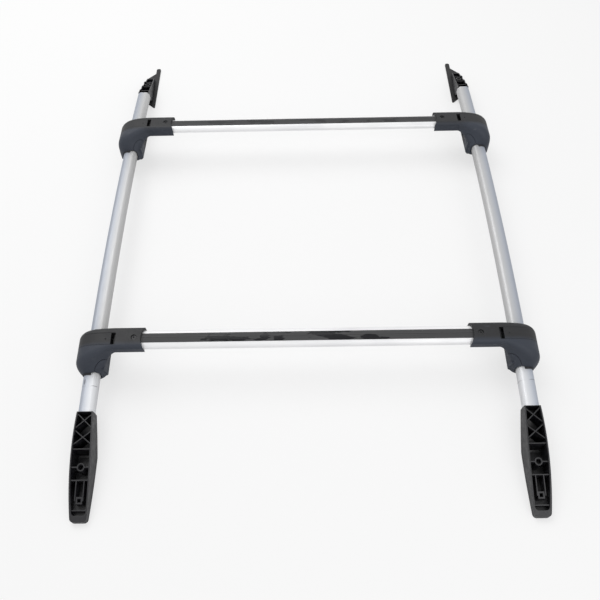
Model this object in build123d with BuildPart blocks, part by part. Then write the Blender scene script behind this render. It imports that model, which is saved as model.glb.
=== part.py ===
"""Roof rack: two arched side rails on roof brackets, joined by two clamp-on crossbars.

Millimetres. +X right, +Y rearward, +Z up from the roof. The origin is on the roof, in the middle of the rack.
A foot is drawn once in its own frame: on the crossbar's axis over a left rail, +X towards the middle of the rack.
"""
from build123d import *
import math
import os

# Side rails
RAIL_SPACING = 1060.0
RAIL_ARC_RADIUS = 5400.0
RAIL_CROWN_HEIGHT = 78.0
RAIL_FRONT_REACH = 532.0
RAIL_REAR_REACH = 584.0
RAIL_WIDTH = 38.0
RAIL_HEIGHT = 32.0
RAIL_CORNER = 12.0
RAIL_WALL = 2.5

# Plugs and screws in the rail ends
PLUG_LENGTH = 52.0
PLUG_WALL = 4.0
PLUG_GAP = 0.1
RAIL_SCREW_RADIUS = 2.5
RAIL_SCREW_HEAD_RADIUS = 4.6
RAIL_SCREW_HEAD_HEIGHT = 2.8
RAIL_SCREW_FROM_END = 26.0
SCREW_GAP = 0.05

# Brackets
BRACKET_WALL = 3.0
BRACKET_FLOOR = 3.5
RIB_THICKNESS = 2.4
RIB_BELOW_RIM = 3.0
FRONT_BRACKET_LENGTH = 244.0
FRONT_BRACKET_BULGE = 4.0
FRONT_BRACKET_INSET = 9.0
FRONT_SOLE_LENGTH = 150.0
FRONT_LIP_HEIGHT = 14.0
FRONT_LIP_LENGTH = 13.0
FRONT_BOSS_AT = 128.0
SQUARE_BOSS_AT = 199.0
SQUARE_BOSS_SIDE = 15.0
SQUARE_BOSS_HOLE = 8.0
REAR_BRACKET_LENGTH = 128.0
REAR_SOLE_LENGTH = 192.0
REAR_SOLE_THICKNESS = 4.0
REAR_TONGUE_WIDTH = 14.0
REAR_TONGUE_LENGTH = 34.0
REAR_BOSS_AT = 74.0
BUSH_BORE_RADIUS = 4.2
BUSH_RADIUS = 6.2
BUSH_LENGTH = 18.0
BUSH_GAP = 0.05
BOSS_WALL = 2.8

# Crossbars
FRONT_BAR_FROM_END = 167.0
REAR_BAR_FROM_END = 219.0
BAR_RISE = 47.0
BAR_CHORD = 49.0
BAR_HEIGHT = 26.0
BAR_WALL = 2.2
BAR_END_FROM_RAIL = 74.0
SLOT_MOUTH = 15.0
SLOT_WIDTH = 23.0
SLOT_DEPTH = 6.0
SLOT_LIP = 2.0
STRIP_WIDTH = 24.0
STRIP_SEAT = 1.4
STRIP_PROUD = 0.6
STRIP_GROOVE = 1.2
STRIP_INTO_SLEEVE = 4.0

# Foot housings
SLEEVE_REACH = 134.0
SLEEVE_WALL = 4.0
SLEEVE_HOLLOW = 7.0
SLEEVE_CORNER = 11.0
BAR_GAP = 0.2
ELBOW_AT = 62.0
FOOT_CROWN = 1.5
FOOT_OUTER_WALL = 14.7
FOOT_FRONT_SWEEP = 76.0
FOOT_CORNER = 24.0
SHOULDER_POWER = 3.2
CHIN_DROP = 3.0
RAIL_GAP = 0.3
PAD_THICKNESS = 2.0
PAD_PROUD = 1.0
FOOT_SCREW_FROM_END = 24.0
FOOT_SCREW_RADIUS = 3.0
FOOT_SCREW_HEAD_RADIUS = 5.6
FOOT_SCREW_HEAD_HEIGHT = 3.6
COUNTERBORE_RADIUS = 6.6
COUNTERBORE_DEPTH = 4.6

# Flip covers
COVER_THICKNESS = 3.0
COVER_FRONT = 18.0
COVER_BACK = 12.0
COVER_GAP = 0.5
COVER_INNER_END = 55.0
COVER_LOWER_END = 24.0
HINGE_FROM_END = 5.0
HINGE_DEPTH = 7.5
HINGE_BARREL_RADIUS = 3.2
HINGE_PIN_RADIUS = 1.5
HINGE_PIN_GAP = 0.05
HINGE_PIN_SEAT = 5.0
COVER_SLOT = 10.5
FINGER_RECESS_HEIGHT = 7.0
FINGER_RECESS_DEPTH = 5.0
COVER_DIMPLE_RADIUS = 1.8

# Clamps
JAW_WALL = 11.7
JAW_TOE = 6.0
JAW_TOE_THICKNESS = 7.0
JAW_TRAVEL = 14.0
SEAM_RADIUS = 59.0
SEAM_GAP = 0.8
PARTING_GAP = 0.6
BOLT_RADIUS = 4.0
BOLT_HEAD_RADIUS = 6.5
BOLT_HEAD_LENGTH = 8.0
BOLT_SOCKET = 6.0
BOLT_BELOW_BAR = 13.0
BOLT_FORWARD = 4.0
BOLT_SEAT = 13.0
BOLT_END = 54.0
BOLT_GAP = 0.3
NUT_SIDE = 13.0
NUT_LENGTH = 6.5
NUT_GAP = 0.1
THREAD_GAP = 0.05
NUT_HOUSING_LENGTH = 18.0
NUT_HOUSING_WALL = 5.0

os.makedirs("parts", exist_ok=True)

# Sizes that follow
half_spacing = RAIL_SPACING / 2
lining = RAIL_GAP + PAD_THICKNESS
sleeve_half_width = BAR_CHORD / 2 + SLEEVE_WALL
sleeve_half_height = BAR_HEIGHT / 2 + SLEEVE_WALL
foot_top = sleeve_half_height + FOOT_CROWN
foot_outer = RAIL_WIDTH / 2 + lining + FOOT_OUTER_WALL
jaw_inner = RAIL_WIDTH / 2 + lining + JAW_WALL
jaw_face = RAIL_WIDTH / 2 + lining
rail_top = -BAR_RISE + RAIL_HEIGHT / 2
rail_bottom = -BAR_RISE - RAIL_HEIGHT / 2
chin_bottom = rail_bottom - CHIN_DROP
parting = rail_top + lining + RAIL_GAP
boss_radius = BUSH_RADIUS + BUSH_GAP + BOSS_WALL
front_angle = math.degrees(math.asin(RAIL_FRONT_REACH / RAIL_ARC_RADIUS))
rear_angle = -math.degrees(math.asin(RAIL_REAR_REACH / RAIL_ARC_RADIUS))
front_bar_angle = math.degrees(math.asin((RAIL_FRONT_REACH - FRONT_BAR_FROM_END) / RAIL_ARC_RADIUS))
rear_bar_angle = -math.degrees(math.asin((RAIL_REAR_REACH - REAR_BAR_FROM_END) / RAIL_ARC_RADIUS))
foot_sweep_angle = math.degrees(math.asin((FOOT_FRONT_SWEEP + PAD_PROUD) / RAIL_ARC_RADIUS))
FAR = 400.0


def arc_plane(angle, crown):
    """Plane square to the rail at an angle of its arc, counted forward from the crown."""
    turn = math.radians(angle)
    drop = RAIL_ARC_RADIUS * (1 - math.cos(turn))
    return Plane(
        origin=(0, -RAIL_ARC_RADIUS * math.sin(turn), crown - drop),
        x_dir=(1, 0, 0),
        z_dir=(0, -math.cos(turn), -math.sin(turn)),
    )


def arc_axis(crown):
    """Axis that the rail's arc turns about, under its crown."""
    return Axis((0, 0, crown - RAIL_ARC_RADIUS), (1, 0, 0))


def arc_length_angle(length):
    """Angle of the rail's arc that a length along it takes."""
    return math.degrees(length / RAIL_ARC_RADIUS)


def rail_sweep(outside, start, end, crown, inside=None, x=0.0):
    """Rail section, grown by outside and hollowed by inside, swept along the arc from start to end."""
    with BuildPart() as swept:
        with BuildSketch(arc_plane(start, crown)):
            with Locations((x, 0)):
                RectangleRounded(RAIL_WIDTH + 2 * outside, RAIL_HEIGHT + 2 * outside, RAIL_CORNER + outside)
                if inside is not None:
                    RectangleRounded(
                        RAIL_WIDTH + 2 * inside, RAIL_HEIGHT + 2 * inside, RAIL_CORNER + inside, mode=Mode.SUBTRACT
                    )
        revolve(axis=arc_axis(crown), revolution_arc=end - start)
    return swept.part


def keep(part, name):
    """Label a finished piece and write it."""
    part.label = name
    export_step(part, f"parts/{name}.step")


# Side rails with the screws through their ends
def rail_screw_spots():
    """Planes of the four rail screws, on the rails' undersides and looking up into the tubes."""
    spots = []
    for angle, inward in ((front_angle, -1), (rear_angle, 1)):
        plane = arc_plane(angle + inward * arc_length_angle(RAIL_SCREW_FROM_END), RAIL_CROWN_HEIGHT)
        up = plane.y_dir
        for side in (-1, 1):
            origin = plane.origin + Vector(side * half_spacing, 0, 0) - up * (RAIL_HEIGHT / 2)
            spots.append(Plane(origin=origin, x_dir=(1, 0, 0), z_dir=up))
    return spots


def side_rail(side):
    """Hollow arched tube, drilled from below for its end screws."""
    tube = rail_sweep(0, rear_angle, front_angle, RAIL_CROWN_HEIGHT, inside=-RAIL_WALL, x=side * half_spacing)
    with BuildPart() as rail:
        add(tube)
        for spot in rail_screw_spots():
            with BuildSketch(spot):
                Circle(RAIL_SCREW_RADIUS + SCREW_GAP)
            extrude(amount=RAIL_WALL * 2, both=True, mode=Mode.SUBTRACT)
    return rail.part


def rail_screws():
    """Pan-head screws that pin the brackets' plugs in the rail ends."""
    with BuildPart() as screws:
        for spot in rail_screw_spots():
            with BuildSketch(spot):
                Circle(RAIL_SCREW_RADIUS)
            extrude(amount=RAIL_WALL + PLUG_WALL)
            with BuildSketch(spot):
                Circle(RAIL_SCREW_RADIUS)
            extrude(amount=-RAIL_SCREW_HEAD_HEIGHT / 2)
            with BuildSketch(spot.offset(-SCREW_GAP)):
                Circle(RAIL_SCREW_HEAD_RADIUS)
            extrude(amount=-RAIL_SCREW_HEAD_HEIGHT, taper=18)
    return screws.part


def rail_plug(side, end_angle, inward):
    """Hollow plug that a bracket pushes into a rail's end, with a pilot for the rail screw."""
    start = end_angle - inward * arc_length_angle(BRACKET_WALL / 2)
    end = end_angle + inward * arc_length_angle(PLUG_LENGTH)
    outside = -RAIL_WALL - PLUG_GAP
    body = rail_sweep(
        outside, min(start, end), max(start, end), RAIL_CROWN_HEIGHT, inside=outside - PLUG_WALL, x=side * half_spacing
    )
    with BuildPart() as plug:
        add(body)
        for spot in rail_screw_spots():
            with BuildSketch(spot):
                Circle(RAIL_SCREW_RADIUS + SCREW_GAP)
            extrude(amount=RAIL_WALL + PLUG_WALL * 2, mode=Mode.SUBTRACT)
    return plug.part


# Front brackets: long open troughs
def front_outline(inset):
    """Plan outline of a left front bracket, drawn in by inset, with y counted forward from the rail's end."""
    half_root = RAIL_WIDTH / 2 - inset
    half_belly = half_root + FRONT_BRACKET_BULGE
    tip = FRONT_BRACKET_LENGTH - (FRONT_LIP_LENGTH if inset else 0)
    root = inset
    belly_at = FRONT_BRACKET_LENGTH * 0.4
    with BuildSketch() as outline:
        with BuildLine():
            outer = Spline(
                (-half_root, root),
                (-half_belly + FRONT_BRACKET_INSET * 0.2, belly_at),
                (-half_root + FRONT_BRACKET_INSET, tip),
            )
            inner = Spline(
                (half_root, root),
                (half_belly + FRONT_BRACKET_INSET * 0.3, belly_at),
                (half_root + FRONT_BRACKET_INSET, tip),
            )
            Line(outer @ 1, inner @ 1)
            Line(outer @ 0, inner @ 0)
        make_face()
        fillet(outline.vertices().group_by(Axis.Y)[-1], RAIL_CORNER * 0.7)
    return outline.sketch


def front_ribs():
    """Plan of the trough's ribs and bosses: truss bay, cross ribs, round screw boss, square clip boss."""
    length = FRONT_BRACKET_LENGTH
    span = RAIL_WIDTH + 2 * FRONT_BRACKET_BULGE
    shift = FRONT_BRACKET_INSET
    with BuildSketch() as ribs:
        for at in (0.36, 0.64, 0.90):
            with Locations((shift * at, length * at)):
                Rectangle(span * 1.2, RIB_THICKNESS)
        for at, turn in ((0.09, 42), (0.09, -42), (0.25, 38), (0.25, -38)):
            with Locations(Location((shift * at, length * at), turn)):
                Rectangle(span * 1.3, RIB_THICKNESS)
        for offset in (-0.2, 0.2):
            with Locations((shift * 0.73 + span * offset, length * 0.73)):
                Rectangle(RIB_THICKNESS, length * 0.18)
        with Locations((shift * FRONT_BOSS_AT / length, FRONT_BOSS_AT)):
            Circle(boss_radius)
            Rectangle(span * 1.2, RIB_THICKNESS)
        with Locations((shift * SQUARE_BOSS_AT / length, SQUARE_BOSS_AT)):
            Rectangle(SQUARE_BOSS_SIDE, SQUARE_BOSS_SIDE)
    return ribs.sketch


def front_profile(floor, rim):
    """Side view of a front bracket as (forward, up): its floor raised by floor and its rim lowered by rim."""
    end = arc_plane(front_angle, RAIL_CROWN_HEIGHT)
    lean = math.tan(math.radians(front_angle))
    centre = end.origin.Z
    reach = RAIL_HEIGHT / 2
    sole_start = FRONT_BRACKET_LENGTH - FRONT_SOLE_LENGTH
    top_root = (lean * (reach - rim), centre + reach - rim)
    low_root = (-lean * (reach - floor), centre - reach + floor)
    tip_top = max(FRONT_LIP_HEIGHT - rim, floor + RIB_THICKNESS)
    with BuildSketch() as profile:
        with BuildLine():
            Spline(top_root, (FRONT_BRACKET_LENGTH * 0.5, centre * 0.93 - rim), (FRONT_BRACKET_LENGTH, tip_top))
            Polyline(
                (FRONT_BRACKET_LENGTH, tip_top), (FRONT_BRACKET_LENGTH, floor), (sole_start, floor), low_root, top_root
            )
        make_face()
    return profile.sketch


def front_prism(outline, profile):
    """Solid with a given plan outline and side profile, both counted forward from the left rail's end."""
    plan_plane = Plane(origin=(-half_spacing, -RAIL_FRONT_REACH, 0), x_dir=(1, 0, 0), z_dir=(0, 0, -1))
    side_plane = Plane(origin=(-half_spacing, -RAIL_FRONT_REACH, 0), x_dir=(0, -1, 0), z_dir=(-1, 0, 0))
    with BuildPart() as prism:
        with BuildSketch(plan_plane):
            add(outline)
        extrude(amount=FAR, both=True)
        with BuildSketch(side_plane):
            add(profile)
        extrude(amount=FAR, both=True, mode=Mode.INTERSECT)
    return prism.part


def front_bracket():
    """Left front bracket: trough, ribs, bosses and the plug in the rail's end."""
    body = front_prism(front_outline(0), front_profile(0, 0))
    ribs = front_prism(front_ribs(), front_profile(0, RIB_BELOW_RIM))
    hollow = front_prism(front_outline(BRACKET_WALL), front_profile(BRACKET_FLOOR, -FAR / 4))
    plug = rail_plug(-1, front_angle, -1)
    with BuildPart() as hollow_round_ribs:
        add(hollow)
        add(ribs, mode=Mode.SUBTRACT)
    with BuildPart() as bracket:
        add(body)
        add(hollow_round_ribs.part, mode=Mode.SUBTRACT)
        add(plug)
        with BuildSketch(Plane.XY.offset(-1)):
            with Locations(bush_spots()[0]):
                Circle(BUSH_RADIUS + BUSH_GAP)
        extrude(amount=FAR / 4, mode=Mode.SUBTRACT)
        with BuildSketch(Plane.XY.offset(BRACKET_FLOOR)):
            with Locations(front_spot(SQUARE_BOSS_AT)):
                Rectangle(SQUARE_BOSS_HOLE, SQUARE_BOSS_HOLE)
        extrude(amount=FAR / 4, mode=Mode.SUBTRACT)
    return bracket.part


def front_spot(forward):
    """Plan position on the middle line of the left front bracket."""
    return (-half_spacing + FRONT_BRACKET_INSET * forward / FRONT_BRACKET_LENGTH, -RAIL_FRONT_REACH - forward)


def bush_spots():
    """Plan positions of the left brackets' mounting bushes, front and rear."""
    return [front_spot(FRONT_BOSS_AT), (-half_spacing, RAIL_REAR_REACH + REAR_BOSS_AT)]


def mounting_bushes():
    """Metal sleeves for the roof bolts in the four brackets."""
    spots = [(x * side, y) for x, y in bush_spots() for side in (1, -1)]
    with BuildPart() as bushes:
        with BuildSketch():
            with Locations(*spots):
                Circle(BUSH_RADIUS)
                Circle(BUSH_BORE_RADIUS, mode=Mode.SUBTRACT)
        extrude(amount=BUSH_LENGTH)
    return bushes.part


# Rear brackets: short ribbed mouldings on rubber soles
def rear_bracket():
    """Left rear bracket: tapering channel with upright ribs, boss and the plug in the rail's end."""
    end = arc_plane(rear_angle, RAIL_CROWN_HEIGHT)
    lean = math.tan(math.radians(-rear_angle))
    centre = end.origin.Z
    reach = RAIL_HEIGHT / 2
    half_root = RAIL_WIDTH / 2 - 1.0
    half_tip = half_root * 0.7
    base = REAR_SOLE_THICKNESS
    tip_top = base + BUSH_LENGTH * 0.6
    length = REAR_BRACKET_LENGTH
    plan = Plane(origin=(-half_spacing, RAIL_REAR_REACH, 0))
    side = Plane(origin=(-half_spacing, RAIL_REAR_REACH, 0), x_dir=(0, 1, 0), z_dir=(1, 0, 0))
    rib_spots = (0.16, 0.42, 0.70, 0.97)
    plug = rail_plug(-1, rear_angle, 1)
    with BuildPart() as hollow:
        with BuildSketch(plan.offset(base + BRACKET_FLOOR)):
            with BuildLine():
                Polyline(
                    (-half_root + BRACKET_WALL, BRACKET_WALL),
                    (-half_tip + BRACKET_WALL, length),
                    (half_tip - BRACKET_WALL, length),
                    (half_root - BRACKET_WALL, BRACKET_WALL),
                    close=True,
                )
            make_face()
            for share in rib_spots:
                with Locations((0, length * share)):
                    Rectangle(RAIL_WIDTH, RIB_THICKNESS, mode=Mode.SUBTRACT)
            with Locations((0, REAR_BOSS_AT)):
                Circle(boss_radius, mode=Mode.SUBTRACT)
        extrude(amount=FAR / 4)
        with BuildSketch(side):
            with BuildLine():
                Polyline(
                    (0, centre - reach + BRACKET_FLOOR),
                    (length * 0.25, base + BRACKET_FLOOR),
                    (length, base + BRACKET_FLOOR),
                    (length, FAR / 4),
                    (0, FAR / 4),
                    close=True,
                )
            make_face()
        extrude(amount=FAR, both=True, mode=Mode.INTERSECT)
    with BuildPart() as bracket:
        with BuildSketch(side):
            with BuildLine():
                Polyline(
                    (lean * -reach, centre - reach),
                    (length * 0.25, base),
                    (length, base),
                    (length, tip_top),
                    (lean * reach, centre + reach * 0.9),
                    close=True,
                )
            make_face()
        extrude(amount=FAR, both=True)
        with BuildSketch(plan):
            with BuildLine():
                Polyline((-half_root, -reach), (-half_tip, length), (half_tip, length), (half_root, -reach), close=True)
            make_face()
        extrude(amount=FAR / 4, mode=Mode.INTERSECT)
        add(hollow.part, mode=Mode.SUBTRACT)
        for share in rib_spots[:3]:
            rise = centre + reach * 0.9 - (centre + reach * 0.9 - tip_top) * share + reach * 0.35
            half = half_root - (half_root - half_tip) * share + BRACKET_WALL * 0.8
            rib_origin = (-half_spacing, RAIL_REAR_REACH + length * share, 0)
            with BuildSketch(Plane(origin=rib_origin, x_dir=(1, 0, 0), z_dir=(0, -1, 0))):
                with BuildLine():
                    Polyline(
                        (-half, base + rise * 0.45),
                        (-half, rise * 0.86),
                        (-half * 0.72, rise),
                        (-half * 0.3, rise * 0.84),
                        (half * 0.5, rise * 0.84),
                        (half * 0.8, rise * 0.7),
                        (half * 0.8, base + rise * 0.45),
                        close=True,
                    )
                make_face()
            extrude(amount=RIB_THICKNESS / 2, both=True)
        add(plug)
        with BuildSketch(Plane.XY):
            with Locations(bush_spots()[1]):
                Circle(BUSH_RADIUS + BUSH_GAP)
        extrude(amount=FAR / 4, mode=Mode.SUBTRACT)
    return bracket.part


def rear_sole():
    """Left rear rubber sole: a flat pad with a slanted front end and a narrow rounded tongue."""
    inner = RAIL_WIDTH * 0.68
    outer = -RAIL_WIDTH * 0.45
    shoulder = REAR_SOLE_LENGTH - REAR_TONGUE_LENGTH
    with BuildPart() as sole:
        with BuildSketch(Plane(origin=(-half_spacing, RAIL_REAR_REACH, 0))) as outline:
            with BuildLine():
                Polyline(
                    (inner, -8),
                    (inner, REAR_SOLE_LENGTH),
                    (inner - REAR_TONGUE_WIDTH, REAR_SOLE_LENGTH),
                    (inner - REAR_TONGUE_WIDTH, shoulder + 8),
                    (outer, shoulder - 20),
                    (outer, 30),
                    close=True,
                )
            make_face()
            fillet(outline.vertices().group_by(Axis.Y)[-1], REAR_TONGUE_WIDTH * 0.4)
            fillet(outline.vertices().group_by(Axis.Y)[0], 3)
            with Locations((0, REAR_BOSS_AT)):
                Circle(BUSH_RADIUS + BUSH_GAP, mode=Mode.SUBTRACT)
        extrude(amount=REAR_SOLE_THICKNESS)
    return sole.part


# Crossbars with their slot strips
def bar_ellipse(grow):
    """Aerofoil outline of a crossbar, grown by grow, in its own section plane."""
    with BuildSketch() as outline:
        Ellipse(BAR_CHORD / 2 + grow, BAR_HEIGHT / 2 + grow)
    return outline.sketch


def strip_section(gap):
    """Section of the slot strip's head, grown by gap."""
    with BuildSketch() as head:
        add(bar_ellipse(STRIP_PROUD + gap))
        add(bar_ellipse(-STRIP_SEAT), mode=Mode.SUBTRACT)
        with Locations((0, BAR_HEIGHT / 2)):
            Rectangle(STRIP_WIDTH + 2 * gap, BAR_HEIGHT, mode=Mode.INTERSECT)
    return head.sketch


slot_roof = BAR_HEIGHT / 2 - STRIP_SEAT - SLOT_LIP
slot_floor = slot_roof - SLOT_DEPTH
bar_plane = Plane.YZ
bar_half_length = half_spacing - BAR_END_FROM_RAIL
strip_half_length = half_spacing - SLEEVE_REACH + SLEEVE_HOLLOW + STRIP_INTO_SLEEVE
foot_screw_at = SLEEVE_REACH - FOOT_SCREW_FROM_END


def crossbar():
    """Hollow aerofoil extrusion with a T-slot, drilled for the foot screws."""
    with BuildPart() as bar:
        with BuildSketch(bar_plane):
            add(bar_ellipse(0))
            add(bar_ellipse(-BAR_WALL), mode=Mode.SUBTRACT)
            with BuildSketch(mode=Mode.PRIVATE) as slot_walls:
                Rectangle(SLOT_WIDTH + 2 * BAR_WALL, BAR_HEIGHT)
                with Locations((0, slot_floor - BAR_WALL - BAR_HEIGHT / 2)):
                    Rectangle(BAR_CHORD, BAR_HEIGHT, mode=Mode.SUBTRACT)
                add(bar_ellipse(0), mode=Mode.INTERSECT)
            add(slot_walls.sketch)
            with Locations((0, (slot_roof + slot_floor) / 2)):
                Rectangle(SLOT_WIDTH, SLOT_DEPTH, mode=Mode.SUBTRACT)
            with Locations((0, slot_floor + BAR_HEIGHT / 2)):
                Rectangle(SLOT_MOUTH, BAR_HEIGHT, mode=Mode.SUBTRACT)
            add(strip_section(SCREW_GAP), mode=Mode.SUBTRACT)
        extrude(amount=bar_half_length, both=True)
        with BuildSketch(Plane.XY.offset(slot_floor)):
            with Locations((half_spacing - foot_screw_at, 0), (foot_screw_at - half_spacing, 0)):
                Circle(FOOT_SCREW_RADIUS + SCREW_GAP)
        extrude(amount=BAR_WALL * 1.5, both=True, mode=Mode.SUBTRACT)
    return bar.part


def slot_strip():
    """Rubber infill: a grooved head over the slot and a stem that hooks under its lips."""
    stem = SLOT_MOUTH - 4 * SCREW_GAP
    stem_top = BAR_HEIGHT / 2 - STRIP_SEAT * 0.5
    stem_low = slot_roof - SLOT_LIP
    with BuildPart() as strip:
        with BuildSketch(bar_plane):
            add(strip_section(0))
            with Locations((0, (stem_top + stem_low) / 2)):
                Rectangle(stem, stem_top - stem_low)
            with Locations((0, slot_roof - SLOT_LIP / 2 - SCREW_GAP)):
                Rectangle(SLOT_WIDTH - 2 * SLOT_LIP, SLOT_LIP)
            for share in (-0.22, 0, 0.22):
                with Locations((STRIP_WIDTH * share, BAR_HEIGHT / 2 + STRIP_PROUD)):
                    Rectangle(STRIP_GROOVE, STRIP_GROOVE, mode=Mode.SUBTRACT)
        extrude(amount=strip_half_length, both=True)
    return strip.part


# Feet
def elbow_radial(angle):
    """Unit vector from the elbow's pivot outwards, at an angle of the bend."""
    turn = math.radians(angle)
    return Vector(-math.sin(turn), 0, math.cos(turn))


elbow_inside = ELBOW_AT - jaw_inner
elbow_pivot = Vector(ELBOW_AT, 0, -sleeve_half_height - elbow_inside)
elbow_top = foot_top - elbow_pivot.Z
elbow_outer = ELBOW_AT + foot_outer
ELBOW_ANGLES = (0, 15, 30, 45, 60, 75, 90)


def elbow_reach(angle):
    """Distance of the foot's outside from the elbow's pivot, full over the shoulder."""
    turn = math.radians(angle)
    across = abs(math.sin(turn) / elbow_outer) ** SHOULDER_POWER
    along = abs(math.cos(turn) / elbow_top) ** SHOULDER_POWER
    return (across + along) ** (-1 / SHOULDER_POWER)


def hoof():
    """Outer form of a foot: a sleeve that bends down and sweeps forward over the rail."""
    with BuildPart() as bent:
        for angle in ELBOW_ANGLES:
            turn = math.radians(angle)
            share = (angle / 90) ** 2 * (3 - angle / 45)
            outside = elbow_reach(angle)
            front = sleeve_half_width + (FOOT_FRONT_SWEEP - sleeve_half_width) * share
            corner = SLEEVE_CORNER + (FOOT_CORNER - SLEEVE_CORNER) * share
            middle = elbow_pivot + elbow_radial(angle) * ((elbow_inside + outside) / 2)
            with BuildSketch(Plane(origin=middle, x_dir=(0, 1, 0), z_dir=(-math.cos(turn), 0, -math.sin(turn)))):
                with Locations(((sleeve_half_width - front) / 2, 0)):
                    RectangleRounded(sleeve_half_width + front, outside - elbow_inside, corner)
        loft()
        extrude(bent.faces().sort_by(Axis.X)[-1], amount=SLEEVE_REACH - ELBOW_AT)
        extrude(bent.faces().sort_by(Axis.Z)[0], amount=elbow_pivot.Z - chin_bottom)
    return bent.part


def under_skin(depth):
    """Everything that lies deeper than depth under the foot's top and outer wall."""
    points = [(SLEEVE_REACH, foot_top - depth)]
    for angle in ELBOW_ANGLES:
        point = elbow_pivot + elbow_radial(angle) * (elbow_reach(angle) - depth)
        points.append((point.X, point.Z))
    points.append((depth - foot_outer, chin_bottom))
    with BuildPart() as core:
        with BuildSketch(Plane.XZ):
            with BuildLine():
                Line(points[0], points[1])
                Spline(*points[1:-1], tangents=((-1, 0), (0, -1)))
                Polyline(points[-2], points[-1], (SLEEVE_REACH, chin_bottom), points[0])
            make_face()
        extrude(amount=FAR, both=True)
    return core.part


def block(x, y, z):
    """Plain block between pairs of limits."""
    middle = Pos((x[0] + x[1]) / 2, (y[0] + y[1]) / 2, (z[0] + z[1]) / 2)
    return middle * Box(x[1] - x[0], y[1] - y[0], z[1] - z[0])


def upright(x, y, radius, z):
    """Upright cylinder between limits."""
    return Pos(x, y, (z[0] + z[1]) / 2) * Cylinder(radius, z[1] - z[0])


def along_x(y, z, radius, x):
    """Cylinder along X between limits."""
    return Pos((x[0] + x[1]) / 2, y, z) * Rot(0, 90, 0) * Cylinder(radius, x[1] - x[0])


def along_y(x, z, radius, y):
    """Cylinder along Y between limits."""
    return Pos(x, (y[0] + y[1]) / 2, z) * Rot(90, 0, 0) * Cylinder(radius, y[1] - y[0])


form = hoof()
hinge_x = COVER_INNER_END - HINGE_FROM_END
hinge_z = foot_top - HINGE_DEPTH
seam_centre = (ELBOW_AT, -FOOT_FRONT_SWEEP - FOOT_CORNER * 0.9)
jaw_parting = jaw_face - RAIL_CORNER * 1.6
bolt_y = -BOLT_FORWARD
bolt_z = -BOLT_BELOW_BAR
nut_start = jaw_inner - NUT_LENGTH * 0.5
housing_start = nut_start - NUT_HOUSING_WALL
rail_channel = rail_sweep(lining, -foot_sweep_angle, foot_sweep_angle * 1.2, -BAR_RISE)
rail_lining = rail_sweep(lining, -foot_sweep_angle * 0.4, foot_sweep_angle, -BAR_RISE, inside=RAIL_GAP)


def bar_socket():
    """Room for the bar's end and strip in the sleeve."""
    with BuildPart() as socket:
        with BuildSketch(bar_plane.offset(BAR_END_FROM_RAIL - BAR_GAP)):
            add(bar_ellipse(BAR_GAP))
            add(strip_section(BAR_GAP))
        extrude(amount=FAR)
    return socket.part


def foot_housing():
    """Left housing: sleeve, cover recess, bolt passage, rail channel and the room for the jaw."""
    hollow_radius = (sleeve_half_width**2 + SLEEVE_HOLLOW**2) / (2 * SLEEVE_HOLLOW)
    recess_y = (-COVER_FRONT - COVER_GAP, COVER_BACK + COVER_GAP)
    pin_y = (recess_y[0] - HINGE_PIN_SEAT, recess_y[1] + HINGE_PIN_SEAT)
    nut_room_y = NUT_SIDE / 2 + NUT_HOUSING_WALL + PARTING_GAP
    nut_room_end = housing_start + NUT_HOUSING_LENGTH + JAW_TRAVEL + PARTING_GAP
    recess_core = under_skin(COVER_THICKNESS + COVER_GAP)
    recess_limits = block((-FAR, COVER_INNER_END + COVER_GAP), recess_y, (-COVER_LOWER_END - COVER_GAP, FAR))
    cuts = [
        bar_socket(),
        upright(SLEEVE_REACH - SLEEVE_HOLLOW + hollow_radius, 0, hollow_radius, (-FAR, FAR)),
        rail_channel,
        block((jaw_parting, FAR), (-FAR, FAR), (-FAR, parting)),
        upright(*seam_centre, SEAM_RADIUS, (-FAR, FAR)),
        block((hinge_x, COVER_INNER_END + COVER_SLOT), recess_y, (hinge_z - HINGE_BARREL_RADIUS, FAR)),
        along_y(hinge_x, hinge_z, math.hypot(HINGE_FROM_END, HINGE_DEPTH) + COVER_GAP, recess_y),
        along_y(hinge_x, hinge_z, HINGE_PIN_RADIUS + HINGE_PIN_GAP, pin_y),
        along_x(bolt_y, bolt_z, BOLT_RADIUS + BOLT_GAP, (-BOLT_SEAT - 1, nut_room_end)),
        along_x(bolt_y, bolt_z, BOLT_HEAD_RADIUS + 5 * BOLT_GAP, (-FAR, -BOLT_SEAT)),
        block(
            (housing_start - PARTING_GAP, nut_room_end),
            (bolt_y - nut_room_y, bolt_y + nut_room_y),
            (-FAR, bolt_z + NUT_SIDE / 2 + 2 * PARTING_GAP),
        ),
        block(
            (-FAR, FINGER_RECESS_DEPTH - foot_outer),
            (bolt_y - NUT_SIDE, bolt_y + NUT_SIDE),
            (-COVER_LOWER_END - FINGER_RECESS_HEIGHT, -COVER_LOWER_END),
        ),
        upright(foot_screw_at, 0, FOOT_SCREW_RADIUS + SCREW_GAP, (0, FAR)),
        upright(foot_screw_at, 0, COUNTERBORE_RADIUS, (sleeve_half_height - COUNTERBORE_DEPTH, FAR)),
    ]
    with BuildPart() as skin_layer:
        add(form)
        add(recess_core, mode=Mode.SUBTRACT)
        add(recess_limits, mode=Mode.INTERSECT)
    with BuildPart() as housing:
        add(form)
        add(skin_layer.part, mode=Mode.SUBTRACT)
        add(cuts, mode=Mode.SUBTRACT)
    return housing.part


def rail_pad():
    """Left rubber lining on the rail's top and outer side."""
    inner_side = block((jaw_parting, FAR), (-FAR, FAR), (-FAR, FAR))
    underside = block((-FAR, FAR), (-FAR, FAR), (-FAR, chin_bottom + FOOT_CORNER * 0.5))
    with BuildPart() as pad:
        add(rail_lining)
        add([inner_side, underside], mode=Mode.SUBTRACT)
    return pad.part


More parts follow.
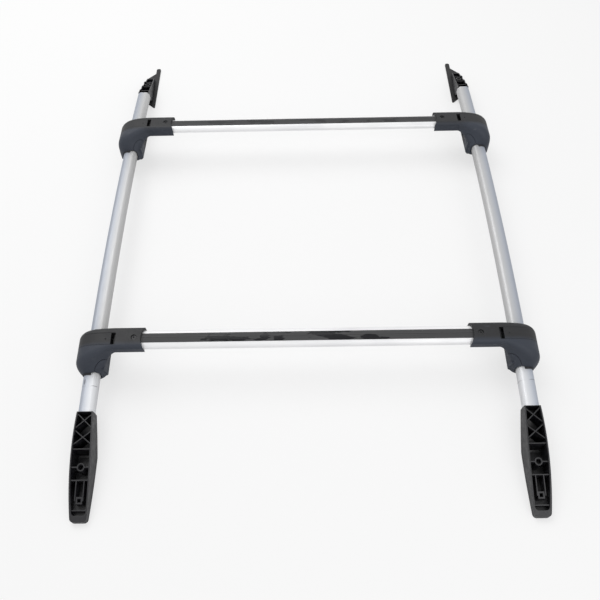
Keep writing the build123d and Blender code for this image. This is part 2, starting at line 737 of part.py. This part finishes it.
def foot_screw():
    """Screw that fixes a foot to the bar's slot floor, with a hex socket."""
    head_low = sleeve_half_height - COUNTERBORE_DEPTH
    low = slot_floor - BAR_WALL
    with BuildPart() as screw:
        with BuildSketch(Plane.XY.offset(low)):
            with Locations((foot_screw_at, 0)):
                Circle(FOOT_SCREW_RADIUS)
        extrude(amount=head_low - low)
        with BuildSketch(Plane.XY.offset(head_low)):
            with Locations((foot_screw_at, 0)):
                Circle(FOOT_SCREW_HEAD_RADIUS)
        extrude(amount=FOOT_SCREW_HEAD_HEIGHT)
        with BuildSketch(Plane.XY.offset(head_low + FOOT_SCREW_HEAD_HEIGHT)):
            with Locations((foot_screw_at, 0)):
                RegularPolygon(FOOT_SCREW_RADIUS * 0.9, 6)
        extrude(amount=-FOOT_SCREW_HEAD_HEIGHT * 0.7, mode=Mode.SUBTRACT)
    return screw.part


def flip_cover():
    """Left cover: a curved panel of the foot's own skin with a hinge barrel under its inner end."""
    core = under_skin(COVER_THICKNESS)
    width = (-COVER_FRONT, COVER_BACK)
    limits = block((-FAR, COVER_INNER_END), width, (-COVER_LOWER_END, FAR))
    barrel = along_y(hinge_x, hinge_z, HINGE_BARREL_RADIUS, width)
    web_x = (hinge_x - HINGE_PIN_RADIUS, hinge_x + HINGE_PIN_RADIUS)
    web = block(web_x, width, (hinge_z, foot_top - COVER_THICKNESS / 2))
    bore = along_y(hinge_x, hinge_z, HINGE_PIN_RADIUS + HINGE_PIN_GAP, (-FAR, FAR))
    dimple = upright(hinge_x - HINGE_DEPTH, bolt_y, COVER_DIMPLE_RADIUS, (foot_top - COVER_THICKNESS / 2, FAR))
    with BuildPart() as cover:
        add(form)
        add(core, mode=Mode.SUBTRACT)
        add(limits, mode=Mode.INTERSECT)
        add([barrel, web])
        add([bore, dimple], mode=Mode.SUBTRACT)
    return cover.part


def hinge_pin():
    """Pin of a flip cover, seated in the housing at both ends."""
    overhang = COVER_GAP + HINGE_PIN_SEAT
    with BuildPart() as pin:
        with BuildSketch(Plane(origin=(hinge_x, -COVER_FRONT - overhang, hinge_z), z_dir=(0, 1, 0))):
            Circle(HINGE_PIN_RADIUS)
        extrude(amount=COVER_FRONT + COVER_BACK + 2 * overhang)
    return pin.part


def clamp_jaw():
    """Left jaw: inner front corner of the foot, hook under the rail and housing for the nut."""
    housing_y = NUT_SIDE / 2 + NUT_HOUSING_WALL
    seam = upright(*seam_centre, SEAM_RADIUS - SEAM_GAP, (-FAR, FAR))
    nut_housing = block(
        (housing_start, housing_start + NUT_HOUSING_LENGTH),
        (bolt_y - housing_y, bolt_y + housing_y),
        (parting - JAW_WALL, bolt_z + NUT_SIDE / 2 + PARTING_GAP),
    )
    bolt_hole = along_x(bolt_y, bolt_z, BOLT_RADIUS + BOLT_GAP, (0, FAR))
    nut_pocket = block(
        (nut_start - NUT_GAP, nut_start + NUT_LENGTH + NUT_GAP),
        (bolt_y - NUT_SIDE / 2 - NUT_GAP, bolt_y + NUT_SIDE / 2 + NUT_GAP),
        (bolt_z - NUT_SIDE / 2 - NUT_GAP, FAR),
    )
    toe_low = rail_bottom - lining - JAW_TOE_THICKNESS
    with BuildPart() as corner:
        add(form)
        add(seam, mode=Mode.INTERSECT)
    with BuildPart() as jaw:
        with BuildSketch(Plane.XZ.offset(SLEEVE_WALL - sleeve_half_width)):
            with BuildLine():
                Polyline(
                    (jaw_inner, parting - PARTING_GAP),
                    (jaw_inner, chin_bottom),
                    (jaw_inner - JAW_WALL * 0.5, toe_low),
                    (JAW_TOE, toe_low + JAW_TOE_THICKNESS * 0.3),
                    (JAW_TOE, rail_bottom),
                    (jaw_face - 1, rail_bottom + RAIL_CORNER),
                    (jaw_face - 1, parting - PARTING_GAP),
                    close=True,
                )
            make_face()
        extrude(amount=sleeve_half_width - SLEEVE_WALL + FOOT_FRONT_SWEEP - FOOT_CORNER * 0.5)
        add([corner.part, nut_housing])
        add([rail_channel, bolt_hole, nut_pocket], mode=Mode.SUBTRACT)
    return jaw.part


def jaw_pad():
    """Left rubber lining on the rail's inner and lower side."""
    pad_y = (FOOT_CORNER * 0.5 - FOOT_FRONT_SWEEP, sleeve_half_width - SLEEVE_WALL)
    limits = block((JAW_TOE + 1, FAR), pad_y, (-FAR, parting - 2 * lining))
    with BuildPart() as pad:
        add(rail_lining)
        add(limits, mode=Mode.INTERSECT)
    return pad.part


def clamp_nut():
    """Square nut in the jaw."""
    with BuildPart() as nut:
        with BuildSketch(bar_plane.offset(nut_start)):
            with Locations((bolt_y, bolt_z)):
                Rectangle(NUT_SIDE, NUT_SIDE)
                Circle(BOLT_RADIUS + THREAD_GAP, mode=Mode.SUBTRACT)
        extrude(amount=NUT_LENGTH)
    return nut.part


def clamp_bolt():
    """Bolt with a hex socket, its head under the flip cover."""
    with BuildPart() as bolt:
        with BuildSketch(bar_plane.offset(-BOLT_SEAT)):
            with Locations((bolt_y, bolt_z)):
                Circle(BOLT_RADIUS)
        extrude(amount=BOLT_SEAT + BOLT_END)
        with BuildSketch(bar_plane.offset(-BOLT_SEAT)):
            with Locations((bolt_y, bolt_z)):
                Circle(BOLT_HEAD_RADIUS)
        extrude(amount=-BOLT_HEAD_LENGTH)
        with BuildSketch(bar_plane.offset(-BOLT_SEAT - BOLT_HEAD_LENGTH)):
            with Locations((bolt_y, bolt_z)):
                RegularPolygon(BOLT_SOCKET / 2, 6, major_radius=False)
        extrude(amount=BOLT_HEAD_LENGTH * 0.6, mode=Mode.SUBTRACT)
    return bolt.part


FOOT_PIECES = {
    "foot": foot_housing(),
    "rail_pad": rail_pad(),
    "foot_screw": foot_screw(),
    "hinge_pin": hinge_pin(),
    "cover": flip_cover(),
    "jaw": clamp_jaw(),
    "jaw_pad": jaw_pad(),
    "clamp_nut": clamp_nut(),
    "clamp_bolt": clamp_bolt(),
}


def bar_location(angle):
    """Place of a crossbar's own frame, over the rails at an angle of their arc."""
    turn = math.radians(angle)
    radius = RAIL_ARC_RADIUS + BAR_RISE
    height = RAIL_CROWN_HEIGHT - RAIL_ARC_RADIUS + radius * math.cos(turn)
    return Location((0, -radius * math.sin(turn), height), (angle, 0, 0))


keep(side_rail(-1), "rail_left")
keep(side_rail(1), "rail_right")
keep(rail_screws(), "rail_screws")
keep(mounting_bushes(), "mounting_bushes")
for name, piece in (("front_bracket", front_bracket()), ("rear_bracket", rear_bracket()), ("rear_sole", rear_sole())):
    keep(piece, f"{name}_left")
    keep(mirror(piece, about=Plane.YZ), f"{name}_right")

bar_piece = crossbar()
strip_piece = slot_strip()
for row, angle in (("front", front_bar_angle), ("rear", rear_bar_angle)):
    place = bar_location(angle)
    keep(bar_piece.moved(place), f"{row}_crossbar")
    keep(strip_piece.moved(place), f"{row}_slot_strip")
    for name, piece in FOOT_PIECES.items():
        left = piece.moved(Location((-half_spacing, 0, 0)))
        keep(left.moved(place), f"{row}_left_{name}")
        keep(mirror(left, about=Plane.YZ).moved(place), f"{row}_right_{name}")
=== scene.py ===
"""Looks of the roof rack: finishes for its pieces, stage, light and camera."""

import logging
import math
from dataclasses import dataclass, field
from enum import Enum
from typing import Any, Union

import bmesh
import bpy
from mathutils import Matrix, Vector

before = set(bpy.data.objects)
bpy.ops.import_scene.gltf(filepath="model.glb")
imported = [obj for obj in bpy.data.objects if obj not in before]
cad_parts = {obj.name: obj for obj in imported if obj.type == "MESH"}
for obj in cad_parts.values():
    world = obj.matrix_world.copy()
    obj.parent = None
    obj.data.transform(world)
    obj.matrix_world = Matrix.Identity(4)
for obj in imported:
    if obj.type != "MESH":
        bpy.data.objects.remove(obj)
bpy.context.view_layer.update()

LOG = logging.getLogger("roof_rack")
Number = Union[int, float]
Triple = tuple[float, float, float]
Colour = Triple


class Row(Enum):
    """The two crossbars."""

    FRONT = "front"
    REAR = "rear"


class Side(Enum):
    """The two side rails."""

    LEFT = "left"
    RIGHT = "right"


class Sock:
    """A shader socket that takes part in Python arithmetic."""

    def __init__(self, tree: "Shader", socket: bpy.types.NodeSocket) -> None:
        """Keep the socket and the shader it belongs to."""
        self.tree = tree
        self.socket = socket

    def _math(self, operation: str, *values: Any) -> "Sock":
        """Add a Math node.

        Args:
            operation: The Math node's operation.
            values: Its inputs in order.

        Returns:
            The node's result.
        """
        return self.tree.add("ShaderNodeMath", {"operation": operation}, dict(enumerate(values)))

    def __add__(self, other: Any) -> "Sock":
        """Sum."""
        return self._math("ADD", self, other)

    __radd__ = __add__

    def __sub__(self, other: Any) -> "Sock":
        """Difference."""
        return self._math("SUBTRACT", self, other)

    def __rsub__(self, other: Any) -> "Sock":
        """Difference, the other way round."""
        return self._math("SUBTRACT", other, self)

    def __mul__(self, other: Any) -> "Sock":
        """Product."""
        return self._math("MULTIPLY", self, other)

    def __truediv__(self, other: Any) -> "Sock":
        """Quotient."""
        return self._math("DIVIDE", self, other)

    def __abs__(self) -> "Sock":
        """Absolute value."""
        return self._math("ABSOLUTE", self)

    def most(self, other: Any) -> "Sock":
        """The greater of the two."""
        return self._math("MAXIMUM", self, other)

    def ramp(self, low: Number, high: Number, start: Number = 0.0, end: Number = 1.0) -> "Sock":
        """Smooth step from start at low to end at high.

        Args:
            low: Value where the step starts.
            high: Value where it ends.
            start: Result up to low.
            end: Result from high on.

        Returns:
            The stepped value.
        """
        settings = {"interpolation_type": "SMOOTHSTEP", "clamp": True}
        return self.tree.add("ShaderNodeMapRange", settings, {0: self, 1: low, 2: high, 3: start, 4: end})


class Shader:
    """The nodes of a material or a world under construction."""

    def __init__(self, owner: Union[str, bpy.types.World]) -> None:
        """Start an empty material of that name, or empty a world's nodes."""
        self.owner = bpy.data.materials.new(owner) if isinstance(owner, str) else owner
        self.owner.use_nodes = True
        self.nodes = self.owner.node_tree.nodes
        self.links = self.owner.node_tree.links
        self.nodes.clear()

    def add(self, kind: str, settings: dict[str, Any], inputs: dict[Any, Any], output: Any = 0) -> Sock:
        """Add any node.

        Args:
            kind: The node's type.
            settings: Its properties, set before its sockets.
            inputs: Values or sockets for its inputs, by name or number.
            output: Name or number of the output wanted.

        Returns:
            That output.
        """
        node = self.nodes.new(kind)
        for key, value in settings.items():
            setattr(node, key, value)
        for key, value in inputs.items():
            target = node.inputs[key]
            if isinstance(value, Sock):
                self.links.new(value.socket, target)
            elif isinstance(value, tuple) and target.type == "RGBA":
                target.default_value = (*value, 1.0)
            else:
                target.default_value = value
        return Sock(self, node.outputs[output])

    def place(self) -> Sock:
        """Object coordinates."""
        return self.add("ShaderNodeTexCoord", {}, {}, "Object")

    def axes(self) -> tuple[Sock, Sock, Sock]:
        """The three object coordinates one by one."""
        split = self.add("ShaderNodeSeparateXYZ", {}, {0: self.place()}).socket.node
        return tuple(Sock(self, out) for out in split.outputs)

    def stretched(self, scale: Triple) -> Sock:
        """Object coordinates, scaled axis by axis."""
        return self.add("ShaderNodeMapping", {}, {"Vector": self.place(), "Scale": scale})

    def noise(self, scale: float, detail: float = 3.0, stretch: Triple = (1, 1, 1)) -> Sock:
        """Soft noise between 0 and 1.

        Args:
            scale: Blobs per metre.
            detail: Octaves.
            stretch: Scale of each axis.

        Returns:
            The noise.
        """
        inputs = {"Vector": self.stretched(stretch), "Scale": scale, "Detail": detail, "Roughness": 0.55}
        return self.add("ShaderNodeTexNoise", {}, inputs, 0)

    def specks(self, scale: float, size: float, stretch: Triple = (1, 1, 1)) -> Sock:
        """Sparse spots.

        Args:
            scale: Cells per metre.
            size: Radius of a spot in cells.
            stretch: Scale of each axis.

        Returns:
            One in a spot, zero elsewhere.
        """
        inputs = {"Vector": self.stretched(stretch), "Scale": scale}
        return self.add("ShaderNodeTexVoronoi", {}, inputs, "Distance").ramp(size * 0.6, size, 1.0, 0.0)

    def mix(self, share: Any, low: Any, high: Any) -> Sock:
        """Mix two colours.

        Args:
            share: How much of high.
            low: Colour at share 0.
            high: Colour at share 1.

        Returns:
            The mixed colour.
        """
        return self.add("ShaderNodeMix", {"data_type": "RGBA"}, {0: share, 6: low, 7: high}, 2)

    def bump(self, height: Sock, depth: float, soften: float = 0.0) -> Sock:
        """Normal roughened by a height.

        Args:
            height: Height between 0 and 1.
            depth: What a height of 1 stands for, in metres.
            soften: Radius that crisp edges are rounded to, in metres.

        Returns:
            The normal.
        """
        inputs: dict[Any, Any] = {"Height": height, "Distance": depth, "Strength": 1.0}
        if soften:
            inputs["Normal"] = self.add("ShaderNodeBevel", {"samples": 6}, {"Radius": soften})
        return self.add("ShaderNodeBump", {}, inputs)

    def finish(self, inputs: dict[str, Any]) -> bpy.types.Material:
        """Close the material with a Principled shader.

        Args:
            inputs: Values or sockets of the shader.

        Returns:
            The finished material.
        """
        self.show("ShaderNodeOutputMaterial", self.add("ShaderNodeBsdfPrincipled", {}, inputs))
        return self.owner

    def show(self, kind: str, surface: Sock) -> None:
        """Send a surface to an output node of a kind."""
        self.links.new(surface.socket, self.nodes.new(kind).inputs["Surface"])


@dataclass(frozen=True)
class RailSilver:
    """Satin silver of the arched rails, with drawing lines, rubbed rings, a few specks and one dark rub,
    plus painted bluish shade on the outer side and a painted highlight on the front section.
    """

    colour: Colour = (0.45, 0.45, 0.45)
    pale: Colour = (0.70, 0.71, 0.73)
    shade: Colour = (0.27, 0.31, 0.39)
    mark: Colour = (0.12, 0.125, 0.14)
    ring_y: float = -0.470
    rail_x: float = 0.530
    rub_x: float = -0.541
    rub_y: float = -0.461
    rub_half_width: float = 0.002
    rub_half_length: float = 0.008

    def make(self) -> bpy.types.Material:
        """Build the material."""
        s = Shader("rail_silver")
        x, y, _ = s.axes()
        # Painted shade: the outer side of each rail is mixed toward the bluish shade colour.
        painted_outer_shade = (abs(x) - self.rail_x).ramp(-0.012, 0.015)
        streak = s.noise(16.0, 2.0, (1.0, 0.02, 1.0))
        grain = s.noise(900.0, 2.0, (1.0, 0.03, 1.0))
        # Painted highlight: the rail's front section, ahead of the front feet, is mixed toward the pale
        # colour.
        front = y.ramp(-0.42, -0.47)
        wobble = s.noise(35.0, 2.0) - 0.5
        ring = abs(y + wobble * 0.008 - self.ring_y).ramp(0.0006, 0.0016, 1.0, 0.0)
        faint = s.noise(60.0, 1.0).ramp(0.42, 0.6)
        spots = s.specks(60.0, 0.10, (1.0, 0.6, 1.0)) * s.noise(9.0).ramp(0.55, 0.6)
        # The pale colour carries both the real drawing-line streaks and the painted front highlight.
        face = s.mix((streak * 0.6 + front * 0.6).ramp(0.15, 0.95), self.colour, self.pale)
        base = s.mix(painted_outer_shade * 0.7, face, self.shade)
        across = (x - self.rub_x) / self.rub_half_width
        along = (y - self.rub_y) / self.rub_half_length
        rub = (across * across + along * along + wobble).ramp(0.5, 1.1, 0.8, 0.0)
        worn = (ring * faint * 0.55).most(spots * 0.5).most(rub)
        return s.finish(
            {
                "Base Color": s.mix(worn, base, self.mark),
                "Metallic": 0.35,
                "Roughness": grain.ramp(0.3, 0.7, 0.42, 0.52),
                "Normal": s.bump(grain, 0.00002, 0.0008),
            }
        )


@dataclass(frozen=True)
class BarSilver:
    """Pale anodised finish of the crossbars."""

    colour: Colour = (0.90, 0.90, 0.91)
    dull: Colour = (0.76, 0.76, 0.78)

    def make(self) -> bpy.types.Material:
        """Build the material."""
        s = Shader("bar_silver")
        lines = s.noise(700.0, 2.0, (0.02, 1.0, 1.0))
        cloud = s.noise(10.0, 3.0, (0.4, 1.0, 1.0))
        return s.finish(
            {
                "Base Color": s.mix(cloud.ramp(0.45, 0.75), self.colour, self.dull),
                "Metallic": 0.15,
                "Roughness": lines.ramp(0.3, 0.7, 0.30, 0.42),
                "Normal": s.bump(lines, 0.00002, 0.0004),
            }
        )


@dataclass(frozen=True)
class FootPlastic:
    """Dark grained plastic of the feet, with a painted bluish sheen on its front flank, and rubbed paler in
    places.
    """

    colour: Colour = (0.016, 0.016, 0.017)
    painted_flank_sheen: Colour = (0.030, 0.036, 0.050)
    rubbed: Colour = (0.060, 0.064, 0.076)
    bar_y: float = 0.365

    def make(self) -> bpy.types.Material:
        """Build the material."""
        s = Shader("foot_moulding")
        grain = s.noise(2600.0, 2.0)
        cloud = s.noise(28.0, 4.0)
        scuff = s.noise(120.0, 3.0, (0.25, 1.0, 1.0)).ramp(0.60, 0.72) * cloud.ramp(0.45, 0.65)
        _, y, _ = s.axes()
        # Painted sheen: the face of each foot toward the front of the rack is mixed toward the paler bluish
        # flank colour.
        ahead = y.ramp(-0.1, 0.1, -self.bar_y, self.bar_y) - y
        base = s.mix(ahead.ramp(0.012, 0.028), self.colour, self.painted_flank_sheen)
        return s.finish(
            {
                "Base Color": s.mix((cloud * 0.3 + scuff * 0.5).ramp(0.0, 1.0), base, self.rubbed),
                "Roughness": cloud.ramp(0.3, 0.7, 0.48, 0.60),
                "Specular IOR Level": 0.32,
                "Normal": s.bump(grain, 0.00006, 0.0012),
            }
        )


@dataclass(frozen=True)
class BracketPlastic:
    """Near black moulding of the roof brackets, with dusty patches here and there."""

    colour: Colour = (0.006, 0.006, 0.008)
    dust: Colour = (0.040, 0.040, 0.044)

    def make(self) -> bpy.types.Material:
        """Build the material."""
        s = Shader("bracket_moulding")
        cloud = s.noise(60.0, 4.0)
        grain = s.noise(1500.0, 2.0)
        return s.finish(
            {
                "Base Color": s.mix(cloud.ramp(0.50, 0.80, 0.0, 0.8), self.colour, self.dust),
                "Roughness": cloud.ramp(0.3, 0.7, 0.32, 0.50),
                "Normal": s.bump(grain, 0.00004, 0.0007),
            }
        )


@dataclass(frozen=True)
class SlotRubber:
    """Grey rubber of the slot strips, with dark glossy patches where it is worn smooth."""

    name: str
    patches: float
    colour: Colour = (0.062, 0.062, 0.064)
    smooth: Colour = (0.006, 0.006, 0.008)
    middle_x: float = -0.03

    def make(self) -> bpy.types.Material:
        """Build the material."""
        s = Shader(self.name)
        x, _, _ = s.axes()
        blotch = s.noise(38.0, 3.0, (0.35, 1.0, 1.0)) + s.noise(9.0, 1.0, (1.0, 0.3, 1.0)) * 0.4
        middle = abs(x - self.middle_x).ramp(0.14, 0.33, 1.0, 0.0)
        patch = (blotch + middle * 0.16).ramp(0.84, 0.88) * self.patches
        grain = s.noise(1800.0, 2.0)
        return s.finish(
            {
                "Base Color": s.mix(patch, self.colour, self.smooth),
                "Roughness": patch.ramp(0.0, 1.0, 0.62, 0.25),
                "Specular IOR Level": 0.22,
                "Normal": s.bump(grain * (1 - patch), 0.00005, 0.0003),
            }
        )


@dataclass(frozen=True)
class BushSteel:
    """Steel of the mounting bushes, bright on the right and darker on the left from painted shade, with a
    few stains.
    """

    bright: Colour = (0.72, 0.72, 0.73)
    # The dark colour carries both the painted shade on the left half and the stains.
    dull: Colour = (0.20, 0.20, 0.21)

    def make(self) -> bpy.types.Material:
        """Build the material."""
        s = Shader("bush_steel")
        x, _, _ = s.axes()
        stain = s.noise(400.0, 3.0).ramp(0.4, 0.7, 0.0, 0.3)
        return s.finish(
            {
                # Painted shade: bushes on the left half (x below zero) are mixed toward the dark colour;
                # the stain noise adds stains on top.
                "Base Color": s.mix((x.ramp(0.1, -0.1) + stain).ramp(0.0, 1.2), self.bright, self.dull),
                "Metallic": 0.9,
                "Roughness": stain.ramp(0.0, 0.3, 0.28, 0.45),
            }
        )


@dataclass(frozen=True)
class PlainFinish:
    """Even finish with a fine grain."""

    name: str
    colour: Colour
    roughness: float
    metallic: float = 0.0
    grain: float = 1500.0
    depth: float = 0.00003

    def make(self) -> bpy.types.Material:
        """Build the material."""
        s = Shader(self.name)
        grain = s.noise(self.grain, 2.0)
        return s.finish(
            {
                "Base Color": self.colour,
                "Metallic": self.metallic,
                "Roughness": grain.ramp(0.3, 0.7, self.roughness - 0.05, self.roughness + 0.05),
                "Normal": s.bump(grain, self.depth, 0.0004),
            }
        )


@dataclass
class Wardrobe:
    """All finishes, each made once."""

    made: dict[str, bpy.types.Material] = field(default_factory=dict)

    def build(self) -> None:
        """Make every finish."""
        finishes = (
            RailSilver(),
            BarSilver(),
            FootPlastic(),
            BracketPlastic(),
            SlotRubber("front_slot_rubber", 1.0),
            SlotRubber("rear_slot_rubber", 0.45),
            PlainFinish("sole_rubber", (0.012, 0.012, 0.013), 0.7),
            PlainFinish("pad_rubber", (0.016, 0.016, 0.018), 0.75),
            BushSteel(),
            PlainFinish("screw_steel", (0.022, 0.022, 0.024), 0.45, 0.3),
            PlainFinish("bolt_steel", (0.46, 0.46, 0.48), 0.36, 1.0),
        )
        for finish in finishes:
            material = finish.make()
            self.made[material.name] = material
            LOG.info("finish %s", material.name)

    def wear(self, node: str, finish: str) -> None:
        """Give a carried-over node its finish.

        Args:
            node: The node's name.
            finish: The finish's name.
        """
        obj = bpy.data.objects[node]
        obj.data.materials.clear()
        obj.data.materials.append(self.made[finish])
        LOG.info("%s wears %s", node, finish)


@dataclass
class RailSet:
    """Side rails, brackets, soles, bushes and rail screws."""

    wardrobe: Wardrobe

    def dress(self) -> None:
        """Dress the pieces that are fixed to the roof."""
        for side in Side:
            self.wardrobe.wear(f"rail_{side.value}", "rail_silver")
            self.wardrobe.wear(f"front_bracket_{side.value}", "bracket_moulding")
            self.wardrobe.wear(f"rear_bracket_{side.value}", "bracket_moulding")
            self.wardrobe.wear(f"rear_sole_{side.value}", "sole_rubber")
        self.wardrobe.wear("mounting_bushes", "bush_steel")
        self.wardrobe.wear("rail_screws", "screw_steel")


@dataclass
class CrossbarSet:
    """A crossbar with its strip."""

    wardrobe: Wardrobe
    row: Row

    def dress(self) -> None:
        """Dress the bar and its strip."""
        self.wardrobe.wear(f"{self.row.value}_crossbar", "bar_silver")
        self.wardrobe.wear(f"{self.row.value}_slot_strip", f"{self.row.value}_slot_rubber")


@dataclass
class FootSet:
    """One foot with its cover and clamp."""

    wardrobe: Wardrobe
    row: Row
    side: Side
    finishes: dict[str, str] = field(
        default_factory=lambda: {
            "foot": "foot_moulding",
            "cover": "foot_moulding",
            "jaw": "foot_moulding",
            "rail_pad": "pad_rubber",
            "jaw_pad": "pad_rubber",
            "foot_screw": "screw_steel",
            "hinge_pin": "bolt_steel",
            "clamp_nut": "bolt_steel",
            "clamp_bolt": "bolt_steel",
        }
    )

    def dress(self) -> None:
        """Dress the foot's pieces."""
        for piece, finish in self.finishes.items():
            self.wardrobe.wear(f"{self.row.value}_{self.side.value}_{piece}", finish)


@dataclass(frozen=True)
class Lamp:
    """A soft square lamp that faces the rack."""

    name: str
    place: Triple
    size: float
    watts: float

    def build(self) -> None:
        """Hang the lamp."""
        lamp = bpy.data.lights.new(self.name, "AREA")
        lamp.size = self.size
        lamp.energy = self.watts
        obj = bpy.data.objects.new(self.name, lamp)
        obj.location = self.place
        obj.rotation_euler = (-Vector(self.place)).to_track_quat("-Z", "Y").to_euler()
        bpy.context.scene.collection.objects.link(obj)


@dataclass
class Stage:
    """Pale floor, soft light and white surroundings."""

    floor_size: float = 14.0
    floor_drop: float = 0.0005
    floor_colour: Colour = (0.86, 0.86, 0.86)
    floor_glow: float = 0.6
    world_strength: float = 0.6
    sky_colour: Colour = (1.0, 1.0, 1.0)
    lamps: tuple[Lamp, ...] = (
        Lamp("key_light", (-1.2, 1.6, 3.2), 2.6, 62.0),
        Lamp("fill_light", (1.6, -2.4, 2.6), 2.4, 26.0),
    )

    def build(self) -> None:
        """Set floor, world and lamps."""
        self._floor()
        self._world()
        for lamp in self.lamps:
            lamp.build()

    def _floor(self) -> None:
        """Lay the floor, white to the camera where it isn't shaded."""
        mesh = bpy.data.meshes.new("floor")
        shape = bmesh.new()
        bmesh.ops.create_grid(shape, x_segments=1, y_segments=1, size=self.floor_size / 2)
        bmesh.ops.translate(shape, verts=shape.verts, vec=(0, 0, -self.floor_drop))
        shape.to_mesh(mesh)
        shape.free()
        floor = bpy.data.objects.new("floor", mesh)
        bpy.context.scene.collection.objects.link(floor)
        s = Shader("floor_paper")
        paper = s.add("ShaderNodeBsdfDiffuse", {}, {"Color": self.floor_colour})
        glow = s.add("ShaderNodeEmission", {}, {"Strength": 1.0})
        seen = s.add("ShaderNodeLightPath", {}, {}, "Is Camera Ray") * self.floor_glow
        s.show("ShaderNodeOutputMaterial", s.add("ShaderNodeMixShader", {}, {0: seen, 1: paper, 2: glow}))
        floor.data.materials.append(s.owner)

    def _world(self) -> None:
        """Light softly from all round, and show white to the camera and in gloss."""
        world = bpy.data.worlds.new("studio")
        bpy.context.scene.world = world
        s = Shader(world)
        kinds = ("Is Camera Ray", "Is Glossy Ray", "Is Transmission Ray")
        camera, glossy, passing = (s.add("ShaderNodeLightPath", {}, {}, kind) for kind in kinds)
        seen = camera.most(glossy).most(passing)
        strength = self.world_strength + seen * (1.0 - self.world_strength)
        sky = s.add("ShaderNodeBackground", {}, {"Color": self.sky_colour, "Strength": strength})
        s.show("ShaderNodeOutputWorld", sky)


@dataclass
class PhotoCamera:
    """Camera at the photograph's angle, for a square frame."""

    place: Triple = (-0.0005, -1.076, 1.455)
    focal_share: float = 620 / 600
    pitch: float = 58.72
    yaw: float = -1.08
    roll: float = 1.80

    def build(self) -> None:
        """Create the camera and make it the scene's."""
        data = bpy.data.cameras.new("photo_camera")
        data.sensor_width = 36.0
        data.lens = data.sensor_width * self.focal_share
        pitch, yaw, roll = (math.radians(value) for value in (self.pitch, self.yaw, self.roll))
        ahead = Vector((math.sin(yaw) * math.cos(pitch), math.cos(yaw) * math.cos(pitch), -math.sin(pitch)))
        right = Vector((math.cos(yaw), -math.sin(yaw), 0.0))
        down = ahead.cross(right)
        across = right * math.cos(roll) + down * math.sin(roll)
        below = down * math.cos(roll) - right * math.sin(roll)
        turn = Matrix((across, -below, -ahead)).transposed().to_4x4()
        camera = bpy.data.objects.new("photo_camera", data)
        camera.matrix_world = Matrix.Translation(self.place) @ turn
        bpy.context.scene.collection.objects.link(camera)
        bpy.context.scene.camera = camera


def main() -> None:
    """Dress the rack and set the scene."""
    logging.basicConfig(level=logging.INFO)
    bpy.context.scene.view_settings.view_transform = "Standard"
    wardrobe = Wardrobe()
    wardrobe.build()
    RailSet(wardrobe).dress()
    for row in Row:
        CrossbarSet(wardrobe, row).dress()
        for side in Side:
            FootSet(wardrobe, row, side).dress()
    Stage().build()
    PhotoCamera().build()


if __name__ == "__main__":
    main()
